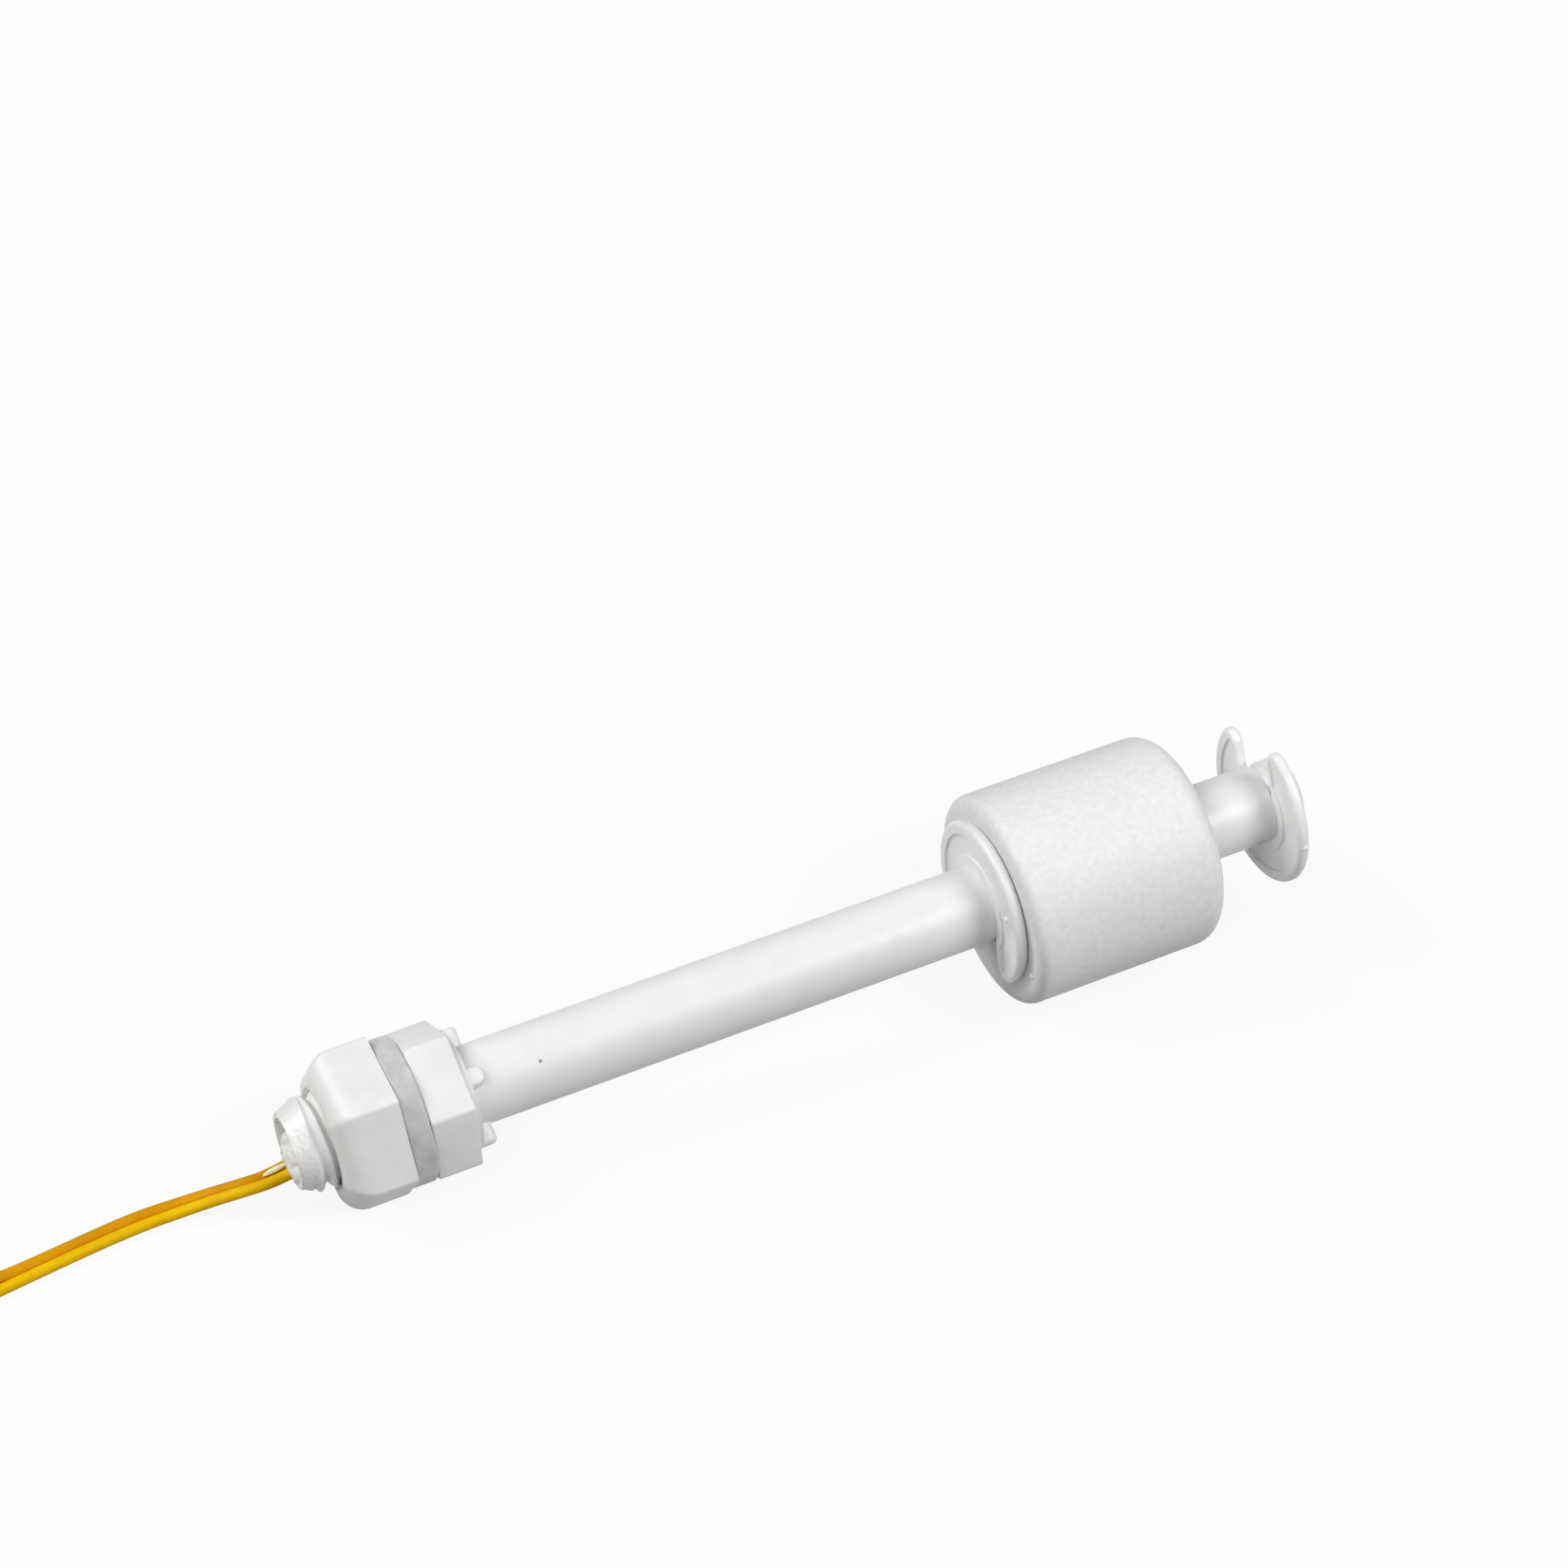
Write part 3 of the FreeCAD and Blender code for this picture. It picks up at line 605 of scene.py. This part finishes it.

# Potting
# Pale cast resin fills the mouth to below its lip. It swells over the lower lip in a lumpy mound,
# out of which the leads come. A thin, bright pale-yellow tongue lies along the back lead's top and
# is joined to the resin.
resin_radius = 3.48
resin_facets = 48
resin_voxel = 0.11
resin_smoothing = 14
resin_grain = 0.5
resin_roughness = 0.22
resin_outline = [
    (mouth_end_x, 0.0), (mouth_end_x, resin_radius), (thread_end_x + 0.7, resin_radius),
    (thread_end_x + 1.3, 3.1), (thread_end_x + 1.9, 2.2), (thread_end_x + 2.1, 0.0),
]
resin_lumps = [
    (-11.3, 0.0, -1.9, 2.0), (-12.1, -0.8, -2.35, 1.30), (-12.1, 0.8, -2.35, 1.30),
    (-12.1, -1.7, -2.2, 1.15), (-12.1, 1.7, -2.2, 1.15), (-11.9, -2.35, -1.5, 1.0),
    (-11.9, 2.35, -1.5, 1.0), (-12.15, 0.0, -2.65, 1.25),
]
tongue_place = (-14.45, 0.27, -2.46)
tongue_size = (1.35, 0.30, 0.26)
tongue_slope = math.radians(13.6)
ball_segments = 24
ball_rings = 12

potting = turned("potting", resin_outline, resin_facets)
for x, y, z, radius in resin_lumps:
    bpy.ops.mesh.primitive_uv_sphere_add(segments=ball_segments, ring_count=ball_rings,
                                         radius=radius, location=(x, y, z))
    bpy.context.active_object.name = "resin_lump"
bpy.ops.object.select_all(action="DESELECT")
bpy.ops.object.select_pattern(pattern="resin_lump*")
potting.select_set(True)
bpy.context.view_layer.objects.active = potting
bpy.ops.object.join()
fuse = potting.modifiers.new("fuse", "REMESH")
fuse.mode = "VOXEL"
fuse.voxel_size = resin_voxel
soften = potting.modifiers.new("soften", "SMOOTH")
soften.iterations = resin_smoothing
take(potting)
bpy.ops.object.modifier_apply(modifier=fuse.name)
bpy.ops.object.modifier_apply(modifier=soften.name)
roughen(potting, resin_grain, resin_roughness, lambda point: True)

bpy.ops.mesh.primitive_uv_sphere_add(segments=ball_segments, ring_count=ball_rings, radius=1.0)
tongue = bpy.context.active_object
place_mesh(tongue, stretch=tongue_size, turns=[(tongue_slope, "Y", (0, 0, 0))],
           shift=tongue_place)

potting.data.materials.append(plastic(
    "potting_resin", (0.82, 0.82, 0.80, 1), (0.72, 0.72, 0.69, 1),
    roughness=0.62, clouding=1.0, pits=0.25, pit_depth=0.025, clear=0.20))
# The tongue is a glossy, bright pale-yellow streak along the back lead's top.
tongue.data.materials.append(plastic(
    "pale_yellow_streak", (0.97, 0.92, 0.56, 1), (0.95, 0.89, 0.48, 1),
    roughness=0.20, clouding=1.0, pits=0.5, pit_depth=0.002, clear=0.10))
take(potting)
tongue.select_set(True)
bpy.ops.object.join()
seat(potting, "root")
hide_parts("potting_plug")

# Lock nut
# A moulded hexagon nut of satin white polypropylene. It screws on the head's thread and clamps the
# head in the wall of a tank.
nut_look = plastic("nut_plastic", (0.84, 0.84, 0.83, 1), (0.80, 0.80, 0.79, 1),
                   roughness=0.42, clouding=2.5, pits=0.30, pit_depth=0.006, clear=0.10)
dress(nut_look, "lock_nut")

# Sealing gasket
# A washer of grey, slightly clear silicone rubber. It slides on the thread between the nut and the
# flange.
gasket_look = plastic("gasket_silicone", (0.66, 0.66, 0.65, 1), (0.48, 0.48, 0.48, 1),
                      roughness=0.42, clouding=4.0, pits=0.6, pit_depth=0.008, clear=0.35)
dress(gasket_look, "sealing_gasket")

# Stop clips
# Two open, dished rings with horns, moulded of a glossier white polypropylene. They snap into the
# stem's grooves and hold the float between them.
clip_look = plastic("clip_plastic", (0.90, 0.90, 0.89, 1), (0.87, 0.87, 0.86, 1),
                    roughness=0.30, clouding=1.5, pits=0.80, pit_depth=0.001, clear=0.25)
dress(clip_look, "head_stop_clip", "tip_stop_clip")

# Float
# A cup and a disc of matte white polypropylene with fine pits and faint grey clouding, welded shut
# round a ring magnet of sintered ferrite. The float slides on the stem.
float_look = plastic("float_plastic", (0.86, 0.86, 0.85, 1), (0.80, 0.80, 0.79, 1),
                     roughness=0.55, clouding=0.7, pits=0.25, pit_depth=0.016, clear=0.05)
ferrite_look = plastic("ferrite", (0.030, 0.030, 0.033, 1), (0.018, 0.018, 0.020, 1),
                       roughness=0.62, clouding=1.0, pits=0.25, pit_depth=0.020)
dress(float_look, "float_shell", "float_cap")
dress(ferrite_look, "ring_magnet")

# Reed contact
# A sealed glass tube with two plated blades lies in the stem's bore, in a sleeve of milky silicone
# rubber. A bead of solder joins each blade to its lead.


def metal(name, bright_tone, dull_tone, roughness, grain):
    """Plated or tinned metal with dull patches."""
    look = plastic(name, bright_tone, dull_tone, roughness=roughness, clouding=grain,
                   pits=grain / 4, pit_depth=0.004)
    look.node_tree.nodes["Principled BSDF"].inputs["Metallic"].default_value = 1.0
    return look


glass_look = plastic("reed_glass", (0.62, 0.78, 0.70, 1), (0.56, 0.73, 0.65, 1),
                     roughness=0.06, clouding=2.0, pits=1.0, pit_depth=0.002)
glass_look.node_tree.nodes["Principled BSDF"].inputs["Transmission Weight"].default_value = 1.0
sleeve_look = plastic("sleeve_silicone", (0.66, 0.66, 0.64, 1), (0.58, 0.58, 0.56, 1),
                      roughness=0.50, clouding=1.0, pits=0.3, pit_depth=0.005, clear=0.30)
alloy_look = metal("reed_alloy", (0.52, 0.49, 0.44, 1), (0.42, 0.40, 0.36, 1),
                   roughness=0.30, grain=0.8)
solder_look = metal("solder", (0.62, 0.62, 0.61, 1), (0.45, 0.45, 0.44, 1),
                    roughness=0.25, grain=0.6)
dress(glass_look, "reed_glass")
dress(sleeve_look, "reed_sleeve")
dress(alloy_look, "reed_blade_head", "reed_blade_tip")
dress(solder_look, "solder_joint_head", "solder_joint_tip")

# Strands
# Each lead's strand of tinned copper runs on inside the stem to its solder, and shows as a short
# bare end where the insulation is cut back.
strand_look = metal("tinned_copper", (0.62, 0.58, 0.54, 1), (0.50, 0.46, 0.42, 1),
                    roughness=0.28, grain=0.5)
dress(strand_look, "lead_a_inner_core", "lead_b_inner_core", "lead_a_bare_end", "lead_b_bare_end")

# Coil tie
# A slim band of black plastic, moulded in one piece and closed round the coil of both leads.
tie_look = plastic("tie_plastic", (0.035, 0.035, 0.035, 1), (0.025, 0.025, 0.025, 1),
                   roughness=0.48, clouding=1.5, pits=0.3, pit_depth=0.010)
dress(tie_look, "coil_tie")

# Floor, backdrop and lights
# A plain pale floor, which the camera sees as even white with a faint shadow, and soft light from
# above. What the floor throws back on the object is weaker, so undersides fall off to grey.
floor_size = 3.0
floor_colour = (0.24, 0.24, 0.24, 1.0)
floor_roughness = 0.9
backdrop_white = (0.985, 0.99, 0.98, 1.0)
shaded_white = (0.95, 0.95, 0.94, 1.0)
shadow_share = 0.10
sky_colour = (0.80, 0.81, 0.82, 1.0)
sky_strength = 0.04
lamp_size = 0.50
lamps = {
    "front": ((0.43, -0.43, 0.60), 4.6),
    "back": ((-0.51, 0.38, 0.56), 4.0),
    "side": ((-0.47, -0.27, 0.65), 2.1),
}


def show_backdrop(tree, lighting, seen, output):
    """Shows the camera, a gloss or a glass the seen shader, and all else the lighting."""
    rays = tree.nodes.new("ShaderNodeLightPath")
    sharp_rays = tree.nodes.new("ShaderNodeMath")
    seen_rays = tree.nodes.new("ShaderNodeMath")
    mix = tree.nodes.new("ShaderNodeMixShader")
    sharp_rays.operation = "MAXIMUM"
    seen_rays.operation = "MAXIMUM"
    tree.links.new(rays.outputs["Is Glossy Ray"], sharp_rays.inputs[0])
    tree.links.new(rays.outputs["Is Transmission Ray"], sharp_rays.inputs[1])
    tree.links.new(rays.outputs["Is Camera Ray"], seen_rays.inputs[0])
    tree.links.new(sharp_rays.outputs["Value"], seen_rays.inputs[1])
    tree.links.new(seen_rays.outputs["Value"], mix.inputs["Fac"])
    tree.links.new(lighting.outputs[0], mix.inputs[1])
    tree.links.new(seen.outputs[0], mix.inputs[2])
    tree.links.new(mix.outputs[0], tree.nodes[output].inputs["Surface"])


bpy.ops.mesh.primitive_plane_add(size=floor_size, location=(0, 0, 0))
floor = bpy.context.active_object
floor.name = "floor"

floor_look = bpy.data.materials.new("floor")
floor_look.use_nodes = True
floor_tree = floor_look.node_tree
floor_shader = floor_tree.nodes["Principled BSDF"]
floor_shader.inputs["Base Color"].default_value = floor_colour
floor_shader.inputs["Roughness"].default_value = floor_roughness
glow = floor_tree.nodes.new("ShaderNodeEmission")
glow.inputs["Color"].default_value = backdrop_white
shaded = floor_tree.nodes.new("ShaderNodeBsdfDiffuse")
shaded.inputs["Color"].default_value = shaded_white
seen_floor = floor_tree.nodes.new("ShaderNodeMixShader")
seen_floor.inputs["Fac"].default_value = shadow_share
floor_tree.links.new(glow.outputs[0], seen_floor.inputs[1])
floor_tree.links.new(shaded.outputs[0], seen_floor.inputs[2])
show_backdrop(floor_tree, floor_shader, seen_floor, "Material Output")
floor.data.materials.append(floor_look)

world = bpy.data.worlds.new("studio")
bpy.context.scene.world = world
world.use_nodes = True
sky = world.node_tree.nodes["Background"]
sky.inputs["Color"].default_value = sky_colour
sky.inputs["Strength"].default_value = sky_strength
seen_sky = world.node_tree.nodes.new("ShaderNodeBackground")
seen_sky.inputs["Color"].default_value = backdrop_white
show_backdrop(world.node_tree, sky, seen_sky, "World Output")

for name, (place, watts) in lamps.items():
    light = bpy.data.lights.new(name, "AREA")
    light.shape = "DISK"
    light.size = lamp_size
    light.energy = watts
    lamp = bpy.data.objects.new(name, light)
    bpy.context.scene.collection.objects.link(lamp)
    lamp.location = place
    lamp.rotation_euler = (-Vector(place)).to_track_quat("-Z", "Y").to_euler()

bpy.context.scene.view_settings.view_transform = "Standard"
